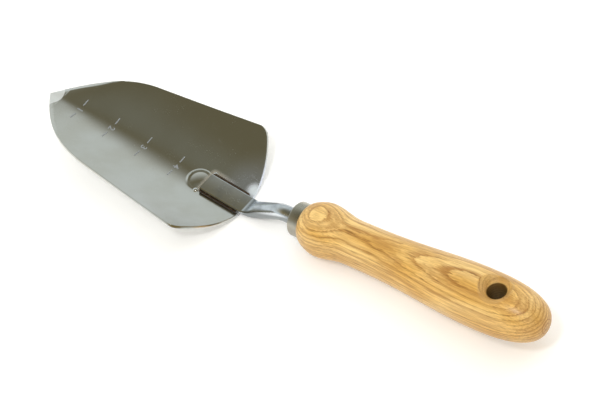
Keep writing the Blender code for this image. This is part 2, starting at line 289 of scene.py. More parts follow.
@dataclass(frozen=True)
class Bench:
    """How the blade's frame lies on the table, read from the record's mount."""

    plate_centre: Triple = (138.55 * MM, 0.0, 3.7 * MM)

    @property
    def blade(self) -> Matrix:
        """The blade's frame.

        Returns:
            The frame that puts the plate's centre on the record's mount, with Z along the mount's axis.
        """
        mount = next(m for m in frame["record"]["mounts"] if m["name"] == "tang_plate_face")
        x, _, z = mount["axis"]
        turned = Matrix.Rotation(math.atan2(x, z), 4, "Y")
        return Matrix.Translation(Vector(mount["pos_m"]) - turned @ Vector(self.plate_centre)) @ turned


# Blade


@dataclass
class Blade:
    """The pressed stainless sheet, with its seat, its half-round nose and its ground tip."""

    length: float = 153.4 * MM
    half_width: float = 44.5 * MM
    flare: float = math.radians(6.8)
    tip_radius: float = 84.5 * MM
    rear_radius: float = 65.0 * MM
    corner_radius: float = 10.0 * MM
    depth: float = 17.3 * MM
    keel_width_tip: float = 1.2 * MM
    keel_width_heel: float = 30.0 * MM
    keel_growth: float = 100.0 * MM
    sheet: float = 1.5 * MM
    bevel_width: float = 2.3 * MM
    bevel_end: float = 36.0 * MM
    bevel_fade: float = 16.0 * MM
    bevel_most: float = 0.8
    tip_facet: float = 9.2 * MM
    cutting_edge: float = 0.5 * MM
    rear_chamfer: float = 0.8 * MM
    rear_chamfer_reach: float = 4.0 * MM
    seat_height: float = 0.8 * MM
    seat_half_width: float = 4.7 * MM
    seat_flank: float = 1.6 * MM
    nose_centre: float = 118.7 * MM
    nose_radius: float = 7.1 * MM
    nose_crest: float = 0.35 * MM
    nose_crest_width: float = 1.2 * MM
    nose_dome: float = 0.55 * MM
    nose_dome_radius: float = 5.9 * MM
    nose_fade_from: float = -5.0 * MM
    nose_fade: float = 5.0 * MM
    rim_margin: float = 0.8 * MM
    rows: int = 300
    elbow: float = 0.6
    bow_growth: float = 1.5
    inner_columns: int = 28
    outer_columns: int = 18
    rim_columns: int = 4
    inner_share: float = 0.27
    lip: float = 0.2 * MM
    lip_segments: int = 3
    lip_angle: float = math.radians(50.0)

    def __post_init__(self) -> None:
        """Works out the outline: tip arc, flaring side, rounded rear corner and rear arc, all tangent."""
        along = (math.cos(self.flare), math.sin(self.flare))
        out = (-along[1], along[0])
        self.rear_centre = self.length - self.rear_radius
        corner_x = self.rear_centre + math.sqrt(self.rear_radius**2 - self.half_width**2)
        offset = corner_x * out[0] + self.half_width * out[1]
        run = math.sqrt(2.0 * offset * self.tip_radius - offset**2)
        inset = offset - self.tip_radius
        self.tip_centre = (inset * out[0] + run * along[0], inset * out[1] + run * along[1])
        self.side_start = self.tip_centre[0] + self.tip_radius * out[0]
        self.side_at_start = self.tip_centre[1] + self.tip_radius * out[1]
        inset = offset - self.corner_radius
        base = (inset * out[0] - self.rear_centre, inset * out[1])
        reach = self.rear_radius - self.corner_radius
        half = base[0] * along[0] + base[1] * along[1]
        run = -half + math.sqrt(half**2 - base[0] ** 2 - base[1] ** 2 + reach**2)
        self.corner_centre = (inset * out[0] + run * along[0], inset * out[1] + run * along[1])
        self.side_end = self.corner_centre[0] + self.corner_radius * out[0]
        back = (self.corner_centre[0] - self.rear_centre) / reach
        self.rear_start = self.rear_centre + self.rear_radius * back
        self.rim_radius = (self.half_width**2 + self.depth**2) / (2.0 * self.depth)
        self.elbow_x = self.side_end + self.elbow * (self.rear_start - self.side_end)
        self.elbow_y = self.width_at(self.elbow_x)

    def flared_at(self, x: float) -> float:
        """Half the width between the straight sides, which is also taken past their ends."""
        return self.side_at_start + (x - self.side_start) * math.tan(self.flare)

    def width_at(self, x: float) -> float:
        """Half the blade's width.

        Args:
            x: The distance from the tip.

        Returns:
            The distance from the keel to the side.
        """
        if x <= self.side_start:
            centre, y = self.tip_centre
            return max(y + math.sqrt(self.tip_radius**2 - (x - centre) ** 2), 0.0)
        if x <= self.side_end:
            return self.flared_at(x)
        if x <= self.rear_start:
            centre, y = self.corner_centre
            return y + math.sqrt(self.corner_radius**2 - (x - centre) ** 2)
        return math.sqrt(max(self.rear_radius**2 - (x - self.rear_centre) ** 2, 0.0))

    def rear_at(self, y: float) -> float:
        """How far back the rear edge lies.

        Args:
            y: The distance from the middle.

        Returns:
            The edge's distance from the tip, measured along the keel.
        """
        if abs(y) <= self.width_at(self.rear_start):
            return self.rear_centre + math.sqrt(self.rear_radius**2 - y**2)
        x, centre = self.corner_centre
        return x + math.sqrt(max(self.corner_radius**2 - (abs(y) - centre) ** 2, 0.0))

    def trough(self, x: float, y: float) -> float:
        """The trough's height over the keel: creased along the keel at the tip, rounder towards the heel.

        Args:
            x: The distance from the tip.
            y: The distance from the middle.

        Returns:
            The height.
        """
        width = max(self.width_at(x) if x < self.side_start else self.flared_at(x), MERGE)
        growth = (self.keel_width_heel - self.keel_width_tip) * smooth(x / self.keel_growth)
        keel = self.keel_width_tip + growth
        rim = self.rim_radius - math.sqrt(self.rim_radius**2 - width**2)
        return rim * (math.hypot(y, keel) - keel) / (math.hypot(width, keel) - keel)

    def height(self, x: float, y: float) -> float:
        """The sheet's upper face over the keel: the trough, the seat, and the nose with its raised lip.

        Args:
            x: The distance from the tip.
            y: The distance from the middle.

        Returns:
            The height.
        """
        behind = x - self.nose_centre
        nose = math.hypot(behind, y) - self.nose_radius
        seat = math.hypot(min(behind, 0.0), y) - self.seat_half_width
        trough = self.trough(x, y)
        pressed = trough + (self.seat_height - trough) * smooth(1.0 - min(nose, seat) / self.seat_flank)
        shown = smooth((PLATE_FRONT - x) / self.nose_crest_width + 0.5)
        lip = self.nose_crest * swell(nose / self.nose_crest_width)
        struck = smooth((y - self.nose_fade_from) / self.nose_fade)
        off_centre = math.hypot(behind, y) / self.nose_dome_radius
        dome = self.nose_dome * max(1.0 - off_centre**2, 0.0)
        return pressed + shown * (struck * lip + dome)

    def bevel_share(self, x: float) -> float:
        """How much of the ground bevel is left at a distance from the tip."""
        return smooth((self.bevel_end - x) / self.bevel_fade)

    def bevel_across(self, x: float) -> float:
        """The bevel's width in the direction across the blade.

        Args:
            x: The distance from the tip.

        Returns:
            The width.
        """
        if x < self.tip_facet:
            return self.bevel_most * self.width_at(x)
        lean = max(self.tip_centre[0] - x, 0.0) / self.tip_radius
        across = self.bevel_width * self.bevel_share(x) / math.sqrt(1.0 - lean**2)
        return min(max(across, self.rim_margin), self.bevel_most * self.width_at(x))

    def ground_off(self, x: float, y: float) -> float:
        """How deep the grinding went: nothing inside the bevel's line, most at the rim.

        Args:
            x: The distance from the tip.
            y: The distance from the middle.

        Returns:
            The depth.
        """
        width = self.width_at(x)
        line = width - self.bevel_across(max(x, self.tip_facet))
        share = max((abs(y) - line) / max(width - line, MERGE), 1.0 - math.hypot(x, y) / self.tip_facet)
        return (self.sheet - self.cutting_edge) * self.bevel_share(x) * min(max(share, 0.0), 1.0)

    def chamfered_off(self, x: float, y: float) -> float:
        """How far the upper face draws in at the rear edge, whose chamfer faces up."""
        share = max(1.0 - max(self.rear_at(y) - x, 0.0) / self.rear_chamfer_reach, 0.0)
        return self.rear_chamfer * share**2 * smooth((x - self.side_end) / self.rear_chamfer_reach)

    def across(self, column: int, side: float) -> float:
        """How far from the keel a column lies: close together over the seat, and again inside the bevel.

        Args:
            column: Its number, from 0 on the keel.
            side: Where its row meets the blade's side.

        Returns:
            The distance from the keel, before the row bows back.
        """
        width = self.width_at(side)
        line = width - self.bevel_across(side)
        inner = min(self.inner_share * width, 0.5 * line)
        if column <= self.inner_columns:
            return inner * column / self.inner_columns
        column -= self.inner_columns
        if column <= self.outer_columns:
            return inner + (line - inner) * column / self.outer_columns
        return line + (width - line) * (column - self.outer_columns) / self.rim_columns

    def point(self, share: float, column: int) -> Pair:
        """Where a point of the flat grid goes in plan: rows bow back more and more towards the rear edge.

        Args:
            share: From 0 at the tip to 1 at the rear edge.
            column: From 0 on the keel, negative on the -Y side.

        Returns:
            The point's x and y.
        """
        side = self.elbow_x * share
        y = math.copysign(self.across(abs(column), side), column)
        reach = y / max(self.width_at(side), MERGE)
        bow = self.rear_at(reach * self.elbow_y) - self.elbow_x
        return side + bow * share**self.bow_growth, y

    def build(self) -> Piece:
        """The blade: a flat grid pressed to the sheet's form, given its thickness, ground and softened.

        Returns:
            The blade's object, in the blade's frame.
        """
        half = self.inner_columns + self.outer_columns + self.rim_columns
        bpy.ops.mesh.primitive_grid_add(x_subdivisions=self.rows, y_subdivisions=2 * half, size=2.0)
        blade = named("blade_sheet")
        for vertex in blade.data.vertices:
            x, y = self.point((vertex.co.x + 1.0) / 2.0, round(vertex.co.y * half))
            vertex.co = (x, y, self.height(x, y))
        close_mesh(blade)
        upper = len(blade.data.vertices)
        normals = [vertex.normal.copy() for vertex in blade.data.vertices]
        apply_modifier(blade, "SOLIDIFY", thickness=self.sheet, offset=-1.0, use_even_offset=True)
        for vertex, normal in zip(blade.data.vertices[:upper], normals):
            x, y, _ = vertex.co
            vertex.co -= normal * self.ground_off(x, y)
            if x > self.side_end:
                x -= self.chamfered_off(x, y)
                vertex.co = (x, y, self.height(x, y))

        def blunt(edge: bmesh.types.BMEdge) -> bool:
            """Whether an edge runs along the rim behind the bevel."""
            behind = min(vertex.co.x for vertex in edge.verts) > self.bevel_end
            return behind and edge.calc_face_angle(0.0) > self.lip_angle

        with editing(blade):
            select_edges(blade, blunt)
            bpy.ops.mesh.bevel(
                offset=self.lip, segments=self.lip_segments, affect="EDGES", clamp_overlap=False
            )
        close_mesh(blade)
        return blade


# Tang


@dataclass
class Tang:
    """The forged bar: the flat plate on the seat, the cranked neck and the spike inside the handle."""

    plate_length: float = 31.5 * MM
    plate_width: float = 12.6 * MM
    plate_thickness: float = 2.6 * MM
    plate_bottom: float = 1.1 * MM
    edge_radius: float = 0.8 * MM
    forging_length: float = 11.0 * MM
    neck_radius: float = 5.0 * MM
    rise: float = math.radians(34.6)
    root_bend: float = 14.0 * MM
    straight: float = 18.6 * MM
    top_bend: float = 20.0 * MM
    pitch: float = math.radians(11.7)
    lead: float = 7.5 * MM
    shank: float = 14.0 * MM
    taper: float = 50.0 * MM
    spike_tip: float = 1.5 * MM
    corner_points: int = 10
    end_steps: int = 4
    end_softness: float = 0.9
    bend_steps: int = 12
    cuts: int = 14
    bridge_smoothness: float = 0.9
    support: float = 0.3 * MM

    def along(self, angle: float) -> Vector:
        """The way back along the tang where it rises at an angle."""
        return Vector((math.cos(angle), 0.0, math.sin(angle)))

    def upwards(self, angle: float) -> Vector:
        """The way out of the tang's upper side where it rises at an angle."""
        return Vector((-math.sin(angle), 0.0, math.cos(angle)))

    def axis(self) -> tuple[Vector, Vector, Vector, Vector]:
        """The points that shape the tang's axis.

        Returns:
            The plate's rear end, the end of the bend there, the upper bend's centre and the upper bend's end.
        """
        middle = self.plate_bottom + self.plate_thickness / 2
        foot = Vector((PLATE_FRONT + self.plate_length, 0.0, middle))
        root = foot + self.root_bend * (self.upwards(0.0) - self.upwards(self.rise))
        centre = root + self.straight * self.along(self.rise) - self.top_bend * self.upwards(self.rise)
        return foot, root, centre, centre + self.top_bend * self.upwards(self.pitch)

    def handle_place(self) -> Matrix:
        """The handle's frame in the blade's frame: its origin is the shoulder and its Z runs to the butt."""
        shoulder = self.axis()[3] + (self.lead + FERRULE_LENGTH) * self.along(self.pitch)
        return Matrix.Translation(shoulder) @ Matrix.Rotation(QUARTER_TURN - self.pitch, 4, "Y")

    def build(self) -> Piece:
        """The tang: plate and neck are modelled apart, and the forged shoulder is bridged between them.

        Returns:
            The tang's object, in the blade's frame.
        """
        foot, root, centre, end = self.axis()
        forged = self.forging_length - self.root_bend * self.rise
        start = root + forged * self.along(self.rise)
        bpy.ops.mesh.primitive_plane_add(size=1.0, location=foot, rotation=(0.0, QUARTER_TURN, 0.0))
        tang = settle(named("tang_forging"), scale=(self.plate_thickness, self.plate_width, 1.0))
        with editing(tang):
            self.draw_out_plate()
            self.raise_neck(start, centre, end)
            self.forge_shoulder(tang, foot, start)
        close_mesh(tang)
        return tang

    def draw_out_plate(self) -> None:
        """In edit mode, gives the plane the plate's rounded corners, its length and a softened front end."""
        bpy.ops.mesh.select_all(action="SELECT")
        bpy.ops.mesh.bevel(offset=self.edge_radius, segments=self.corner_points - 1, affect="VERTICES")
        bpy.ops.mesh.select_all(action="SELECT")
        run = self.plate_length - self.edge_radius
        for step in (self.support, run - 2.0 * self.support, self.support):
            bpy.ops.mesh.extrude_region_move(TRANSFORM_OT_translate={"value": (-step, 0.0, 0.0)})
        radius = self.edge_radius * self.end_softness
        angles = spread(0.0, QUARTER_TURN, self.end_steps)
        for first, second in zip(angles, angles[1:]):
            forward = (math.sin(second) - math.sin(first)) * self.edge_radius
            inward = (math.cos(first) - math.cos(second)) * radius
            bpy.ops.mesh.inset(thickness=inward, depth=forward, use_even_offset=True)

    def raise_neck(self, start: Vector, centre: Vector, end: Vector) -> None:
        """In edit mode, adds the round neck, its upper bend and the spike to the mesh.

        Args:
            start: The centre of the neck's first ring.
            centre: The upper bend's centre.
            end: The upper bend's end.
        """
        lean = (0.0, QUARTER_TURN - self.rise, 0.0)
        sides = 4 * self.corner_points
        bend_start = centre + self.top_bend * self.upwards(self.rise)
        bpy.ops.mesh.select_all(action="DESELECT")
        bpy.ops.mesh.primitive_circle_add(
            vertices=sides, radius=self.neck_radius, location=start, rotation=lean
        )
        bpy.ops.mesh.extrude_region_move(TRANSFORM_OT_translate={"value": bend_start - start})
        turned = self.pitch - self.rise
        bpy.ops.mesh.spin(steps=self.bend_steps, angle=turned, center=centre, axis=(0.0, 1.0, 0.0))
        radius = self.neck_radius
        for run, next_radius in ((self.lead + self.shank, radius), (self.taper, self.spike_tip)):
            step = run * self.along(self.pitch)
            bpy.ops.mesh.extrude_region_move(TRANSFORM_OT_translate={"value": step})
            end = end + step
            bpy.ops.transform.resize(value=(next_radius / radius,) * 3, center_override=end)
            radius = next_radius
        bpy.ops.mesh.edge_face_add()

    def forge_shoulder(self, tang: Piece, foot: Vector, start: Vector) -> None:
        """In edit mode, bridges the plate's rear end to the neck's first ring.

        Args:
            tang: The object in edit mode.
            foot: The middle of the plate's rear end.
            start: The centre of the neck's first ring.
        """
        mesh = bmesh.from_edit_mesh(tang.data)
        ends = [f for f in mesh.faces if all(abs(v.co.x - foot.x) < MERGE for v in f.verts)]
        bmesh.ops.delete(mesh, geom=ends, context="FACES_ONLY")
        along = self.along(self.rise)

        def open_ring(edge: bmesh.types.BMEdge) -> bool:
            """Whether an edge belongs to one of the two rings that the bridge joins."""
            on_plate = all(abs(v.co.x - foot.x) < MERGE for v in edge.verts)
            on_neck = all(abs((v.co - start).dot(along)) < MERGE for v in edge.verts)
            return len(edge.link_faces) == 1 and (on_plate or on_neck)

        select_edges(tang, open_ring)
        bpy.ops.mesh.bridge_edge_loops(
            type="SINGLE", number_cuts=self.cuts, interpolation="PATH", smoothness=self.bridge_smoothness
        )


@dataclass
class Welds:
    """The rippled seams along the tang's plate, and the bright drops at its two front corners."""

    seam_from: float = 123.4 * MM
    seam_to: float = 150.6 * MM
    seam_height: float = 1.0 * MM
    near_seam: Pair = (-6.3 * MM, 0.6 * MM)
    far_seam: Pair = (6.6 * MM, 2.0 * MM)
    blunt_start: float = 0.2
    ripple: float = 1.4 * MM
    ripple_depth: float = 0.07
    rings: int = 96
    near_drop: Triple = (121.3 * MM, -7.4 * MM, 0.4 * MM)
    far_drop: Triple = (124.3 * MM, 8.3 * MM, 0.9 * MM)
    drop_profile: tuple[Pair, ...] = (
        (1.5 * MM, -0.9 * MM),
        (1.7 * MM, 0.0),
        (1.6 * MM, 0.4 * MM),
        (1.35 * MM, 0.75 * MM),
        (0.95 * MM, 1.05 * MM),
        (0.5 * MM, 1.2 * MM),
        (0.0, 1.25 * MM),
    )
    sides: int = 24

    def seams(self) -> Piece:
        """The two seams as one piece, in the blade's frame."""
        return join("weld_seams", [self.seam(*seam) for seam in (self.near_seam, self.far_seam)])

    def seam(self, across: float, radius: float) -> Piece:
        """One seam: a rod with rippled flanks and rounded ends, laid along the plate's foot.

        Args:
            across: The y of its middle.
            radius: Its mean radius.

        Returns:
            The seam's object.
        """
        length = self.seam_to - self.seam_from
        profile = []
        for along in spread(0.0, length, self.rings)[:-1]:
            end = min(along + self.blunt_start * radius, length - along, radius) / radius
            rippled = 1.0 + self.ripple_depth * math.sin(math.tau * along / self.ripple)
            profile.append((radius * rippled * math.sqrt(1.0 - (1.0 - end) ** 2), along))
        seam = turn("seam", [*profile, (0.0, length)], self.sides)
        place = (self.seam_from, across, self.seam_height)
        return settle(seam, location=place, rotation_euler=(0.0, QUARTER_TURN, 0.0))

    def drops(self) -> Piece:
        """The two drops as one piece, in the blade's frame."""
        places = (self.near_drop, self.far_drop)
        drops = [settle(turn("drop", self.drop_profile, self.sides), location=place) for place in places]
        return join("weld_drops", drops)


# Handle


@dataclass
class Ferrule:
    """The turned steel cap over the wood's spigot."""

    outer: float = 10.3 * MM
    wall: float = 1.0 * MM
    edge_radius: float = 1.0 * MM
    mouth: float = 5.3 * MM
    gap: float = 0.3 * MM
    edge_steps: int = 6
    sides: int = 96

    def build(self) -> Piece:
        """The ferrule, turned about the handle's axis.

        Returns:
            The ferrule's object, in the handle's frame.
        """
        inside = self.outer - self.wall
        profile = [(inside, -self.gap), (self.outer, -self.gap)]
        for angle in spread(0.0, QUARTER_TURN, self.edge_steps):
            radius = self.outer - self.edge_radius * (1.0 - math.cos(angle))
            profile.append((radius, -FERRULE_LENGTH + self.edge_radius * (1.0 - math.sin(angle))))
        floor = -FERRULE_LENGTH + self.wall
        profile += [(self.mouth, -FERRULE_LENGTH), (self.mouth, floor), (inside, floor), (inside, -self.gap)]
        return turn("ferrule_cap", profile, self.sides, filled=False)


@dataclass
class Handle:
    """The turned ash handle with its cross-drilled, countersunk hanging hole."""

    length: float = 160.8 * MM
    shoulder_radius: float = 10.6 * MM
    bulb_at: float = 12.0 * MM
    bulb_radius: float = 15.9 * MM
    waist_at: float = 33.0 * MM
    waist_radius: float = 13.1 * MM
    swell_at: float = 119.0 * MM
    swell_radius: float = 16.9 * MM
    shoulder_fullness: float = 1.5
    swell_lag: float = 1.3
    butt_fullness: float = 2.6
    hole_radius: float = 5.5 * MM
    countersink_radius: float = 10.1 * MM
    countersink_depth: float = 4.6 * MM
    overrun: float = 3.0 * MM
    spigot: float = 9.0 * MM
    spigot_front: float = -6.1 * MM
    bore: float = 5.4 * MM
    bore_taper_at: float = 6.6 * MM
    bore_end: float = 57.0 * MM
    bore_end_radius: float = 2.4 * MM
    sides: int = 128
    hole_sides: int = 64
    shoulder_rings: int = 12
    waist_rings: int = 14
    swell_rings: int = 34
    butt_rings: int = 24

    def radius_at(self, z: float) -> float:
        """The turned outside's radius.

        Args:
            z: The distance from the shoulder.

        Returns:
            The radius.
        """
        if z <= self.bulb_at:
            fullness = self.shoulder_fullness
            rise = (1.0 - (1.0 - z / self.bulb_at) ** fullness) ** (1.0 / fullness)
            return self.shoulder_radius + (self.bulb_radius - self.shoulder_radius) * rise
        if z <= self.waist_at:
            share = (z - self.bulb_at) / (self.waist_at - self.bulb_at)
            return wave(self.bulb_radius, self.waist_radius, share)
        if z <= self.swell_at:
            share = (z - self.waist_at) / (self.swell_at - self.waist_at)
            return wave(self.waist_radius, self.swell_radius, share**self.swell_lag)
        share = min((z - self.swell_at) / (self.length - self.swell_at), 1.0)
        return self.swell_radius * (1.0 - share**self.butt_fullness) ** (1.0 / self.butt_fullness)

    def stations(self) -> list[float]:
        """Where the outside has its rings.

        Returns:
            Their distances from the shoulder, from the shoulder to just before the butt.
        """
        front = spread(0.0, QUARTER_TURN, self.shoulder_rings)
        rear = spread(0.0, QUARTER_TURN, self.butt_rings)[1:-1]
        butt = self.length - self.swell_at
        return [
            *(self.bulb_at * (1.0 - math.cos(angle)) for angle in front),
            *spread(self.bulb_at, self.waist_at, self.waist_rings)[1:],
            *spread(self.waist_at, self.swell_at, self.swell_rings)[1:],
            *(self.swell_at + butt * math.sin(angle) for angle in rear),
        ]

    def build(self) -> Piece:
        """The handle, turned from the end of the tang's bore round the spigot to the butt, then drilled.

        Returns:
            The handle's object, in the handle's frame.
        """
        profile = [
            (self.bore_end_radius, self.bore_end),
            (self.bore, self.bore_taper_at),
            (self.bore, self.spigot_front),
            (self.spigot, self.spigot_front),
            (self.spigot, 0.0),
            *((self.radius_at(z), z) for z in self.stations()),
            (0.0, self.length),
        ]
        handle = turn("handle_ash", profile, self.sides)
        drill = self.drill()
        apply_modifier(handle, "BOOLEAN", operation="DIFFERENCE", solver="EXACT", object=drill)
        bpy.data.objects.remove(drill, do_unlink=True)
        return handle

    def drill(self) -> Piece:
        """The hanging hole's cutter, with a countersink at each mouth.

        Returns:
            The cutter, lying across the handle.
        """
        crown = self.radius_at(HOLE_AT)
        slope = (self.countersink_radius - self.hole_radius) / self.countersink_depth
        top = crown + self.overrun
        wide = self.countersink_radius + self.overrun * slope
        seat = crown - self.countersink_depth
        profile = [(wide, -top), (self.hole_radius, -seat), (self.hole_radius, seat), (wide, top)]
        drill = turn("hole_drill", profile, self.hole_sides)
        return settle(drill, location=(0.0, 0.0, HOLE_AT), rotation_euler=(0.0, QUARTER_TURN, 0.0))


# Depth marks


@dataclass
class DepthMarks:
    """Four pairs of ticks and the numbers between them, laid on the blade an inch apart."""

    blade: Blade
    count: int = 4
    first: float = 24.21 * MM
    pitch: float = 25.4 * MM
    tick_from: float = 3.6 * MM
    tick_to: float = 8.34 * MM
    tick_width: float = 0.75 * MM
    tick_cuts: int = 8
    number_height: float = 5.8 * MM
    number_weight: float = 0.1 * MM
    number_cuts: int = 3
    lift: float = 0.03 * MM
    thickness: float = 0.08 * MM

    def build(self) -> Piece:
        """All the marks as one piece.

        Returns:
            The marks' object, in the blade's frame.
        """
        made = []
        for index in range(self.count):
            x = self.first + index * self.pitch
            made += [self.tick(x, -1.0), self.tick(x, 1.0), self.number(x, str(index + 1))]
        marks = join("depth_marks", made)
        for vertex in marks.data.vertices:
            vertex.co.z = self.blade.height(vertex.co.x, vertex.co.y) + self.lift
        close_mesh(marks)
        apply_modifier(marks, "SOLIDIFY", thickness=self.thickness, offset=-1.0)
        return marks

    def tick(self, x: float, side: float) -> Piece:
        """One tick, a narrow grid across the blade.

        Args:
            x: Its distance from the tip.
            side: 1 or -1, the side of the keel.

        Returns:
            The tick's object.
        """
        length = self.tick_to - self.tick_from
        place = (x, side * (self.tick_from + length / 2), 0.0)
        bpy.ops.mesh.primitive_grid_add(
            x_subdivisions=2, y_subdivisions=self.tick_cuts, size=1.0, location=place
        )
        return settle(named("tick"), scale=(self.tick_width, length, 1.0))

    def number(self, x: float, text: str) -> Piece:
        """One number, standing across the blade with its foot towards the tip.

        Args:
            x: The distance of its middle from the tip.
            text: The number.

        Returns:
            The number's object.
        """
        bpy.ops.object.text_add(location=(x, 0.0, 0.0), rotation=(0.0, 0.0, -QUARTER_TURN))
        number = named("number")
        number.data.body = text
        number.data.size = self.number_height
        number.data.offset = self.number_weight
        number.data.align_x = "CENTER"
        number.data.align_y = "CENTER"
        pick(number)
        bpy.ops.object.convert(target="MESH")
        with editing(settle(number)):
            bpy.ops.mesh.select_all(action="SELECT")
            bpy.ops.mesh.subdivide(number_cuts=self.number_cuts)
        return number


# Finishes


class Graph:
    """A node tree, with short ways to add nodes and join them."""

    def __init__(self, tree: bpy.types.NodeTree) -> None:
        """Works on a material's, a world's or a group's tree."""
        self.tree = tree

    def add(self, kind: str, inputs: dict[str | int, Input], **settings: object) -> bpy.types.Node:
        """Adds a node.

        Args:
            kind: The node's type, without its "ShaderNode" prefix.
            inputs: What goes into its sockets: another node's socket, a number, a vector or a colour.
            settings: The node's own properties.

        Returns:
            The node.
        """
        node = self.tree.nodes.new("ShaderNode" + kind)
        for key, value in settings.items():
            setattr(node, key, value)
        for key, value in inputs.items():
            self.feed(node.inputs[key], value)
        return node

    def feed(self, socket: Socket, value: Input) -> None:
        """Links a socket to another node's socket, or sets it to a fixed value.

        Args:
            socket: The socket to feed.
            value: What goes into it.
        """
        if isinstance(value, Socket):
            self.tree.links.new(value, socket)
        else:
            socket.default_value = (*value, 1.0) if socket.type == "RGBA" else value

    def math(self, operation: str, *values: Input) -> Socket:
        """The result of a Math node, by Blender's name for the operation."""
        return self.add("Math", dict(enumerate(values)), operation=operation).outputs[0]

    def minus(self, first: Input, second: Input) -> Socket:
        """One value less another."""
        return self.math("SUBTRACT", first, second)

    def times(self, first: Input, second: Input) -> Socket:
        """The product of two values."""
        return self.math("MULTIPLY", first, second)

    def added(self, value: Input, factor: Input, base: Input) -> Socket:
        """A value times a factor, added to a base."""
        return self.math("MULTIPLY_ADD", value, factor, base)

    def length(self, first: Input, second: Input) -> Socket:
        """The length of a flat vector."""
        squares = (self.math("POWER", part, 2.0) for part in (first, second))
        return self.math("SQRT", self.math("ADD", *squares))

    def split(self, vector: Input) -> tuple[Socket, Socket, Socket]:
        """A vector's x, y and z."""
        return tuple(self.add("SeparateXYZ", {0: vector}).outputs)

    def ease(
        self, value: Input, low: float, high: float, to_low: float = 0.0, to_high: float = 1.0
    ) -> Socket:
        """A value taken smoothly from one range to another, which is 0 to 1 unless it is given."""
        inputs = {"Value": value, "From Min": low, "From Max": high, "To Min": to_low, "To Max": to_high}
        return self.add("MapRange", inputs, interpolation_type="SMOOTHSTEP").outputs[0]

    def blend(self, share: Input, first: Input, second: Input) -> Socket:
        """A colour between two colours: the first where the share is 0, the second where it is 1."""
        return self.add("Mix", {0: share, 6: first, 7: second}, data_type="RGBA").outputs[2]

    def between(self, share: Input, first: Input, second: Input) -> Socket:
        """A number between two numbers: the first where the share is 0, the second where it is 1."""
        return self.add("Mix", {0: share, 2: first, 3: second}, data_type="FLOAT").outputs[0]

    def noise(self, vector: Input, scale: Input, detail: float = 2.0, roughness: float = 0.5) -> Socket:
        """A noise between 0 and 1 at a scale in waves per metre."""
        inputs = {"Vector": vector, "Scale": scale, "Detail": detail, "Roughness": roughness}
        return self.add("TexNoise", inputs).outputs[0]

    def stretched(self, vector: Input, along: float) -> Socket:
        """Coordinates that run slower along Z."""
        return self.add("Mapping", {"Vector": vector, "Scale": (1.0, 1.0, along)}).outputs[0]

    def placed(self, place: Matrix) -> Socket:
        """Object coordinates turned into the frame that a piece was modelled in.

        Args:
            place: That frame in the frame of the CAD.

        Returns:
            The coordinates' socket.
        """
        inverse = place.inverted()
        coordinates = self.add("TexCoord", {}).outputs["Object"]
        turned, moved = tuple(inverse.to_euler("XYZ")), tuple(inverse.translation)
        return self.add("Mapping", {"Vector": coordinates, "Rotation": turned, "Location": moved}).outputs[0]


class Group(Enum):
    """The effects that materials share, each a node group."""

    METAL_WEAR = "metal_wear"
    ASH_GRAIN = "ash_grain"

    def open(self, inputs: dict[str, Input]) -> tuple[Graph, dict[str, Socket]]:
        """Starts the group's tree.

        Args:
            inputs: Each input's name and default: a vector for coordinates, a number otherwise.

        Returns:
            The group's graph, and the socket of each input by name.
        """
        tree = bpy.data.node_groups.new(self.value, "ShaderNodeTree")
        for name, default in inputs.items():
            kind = "NodeSocketVector" if isinstance(default, tuple) else "NodeSocketFloat"
            tree.interface.new_socket(name=name, in_out="INPUT", socket_type=kind).default_value = default
        start = tree.nodes.new("NodeGroupInput")
        return Graph(tree), {socket.name: socket for socket in start.outputs if socket.name in inputs}

    def close(self, graph: Graph, results: dict[str, Socket]) -> None:
        """Gives the group its outputs.

        Args:
            graph: The group's graph.
            results: The socket that feeds each output, by the output's name.
        """
        for name in results:
            graph.tree.interface.new_socket(name=name, in_out="OUTPUT", socket_type="NodeSocketFloat")
        end = graph.tree.nodes.new("NodeGroupOutput")
        for name, socket in results.items():
            graph.feed(end.inputs[name], socket)

    def place(self, graph: Graph, inputs: dict[str, Input]) -> bpy.types.NodeOutputs:
        """Places the group in a material, with the material's own values, and returns its outputs."""
        return graph.add("Group", inputs, node_tree=bpy.data.node_groups[self.value]).outputs


def build_metal_wear() -> None:
    """Polishing lines, hairline scratches, fine pits and cloudy patches, for every steel."""
    inputs = {"Vector": (0.0, 0.0, 0.0), "Line Scale": 4000.0, "Line Stretch": 0.02, "Cloud Scale": 40.0}
    graph, given = Group.METAL_WEAR.open(inputs)
    vector = given["Vector"]
    stretch = graph.add("CombineXYZ", {0: given["Line Stretch"], 1: 1.0, 2: 1.0}).outputs[0]
    along = graph.add("VectorMath", {0: vector, 1: stretch}, operation="MULTIPLY").outputs[0]
    cells = graph.add("TexVoronoi", {"Vector": along, "Scale": 420.0}, feature="DISTANCE_TO_EDGE").outputs[0]
    thin = graph.ease(cells, 0.0, 0.02, 1.0, 0.0)
    broken = graph.ease(graph.noise(vector, 260.0), 0.52, 0.66)
    specks = graph.add("TexVoronoi", {"Vector": vector, "Scale": 900.0}, feature="F1").outputs[0]
    patchy = graph.ease(graph.noise(vector, 90.0), 0.5, 0.7)
    results = {
        "Lines": graph.noise(along, given["Line Scale"], 3.0),
        "Scratches": graph.times(thin, broken),
        "Pits": graph.times(graph.ease(specks, 0.1, 0.3, 1.0, 0.0), patchy),
        "Clouds": graph.noise(vector, given["Cloud Scale"], 4.0),
    }
    Group.METAL_WEAR.close(graph, results)


# The growth layers' waves: stretch along the grain, scale, detail, roughness and reach of each size
ASH_WAVES = (
    (0.25, 45.0, 1.0, 0.5, 1.8 * MM),
    (0.3, 260.0, 2.0, 0.6, 0.9 * MM),
    (0.12, 1100.0, 3.0, 0.65, 0.7 * MM),
)


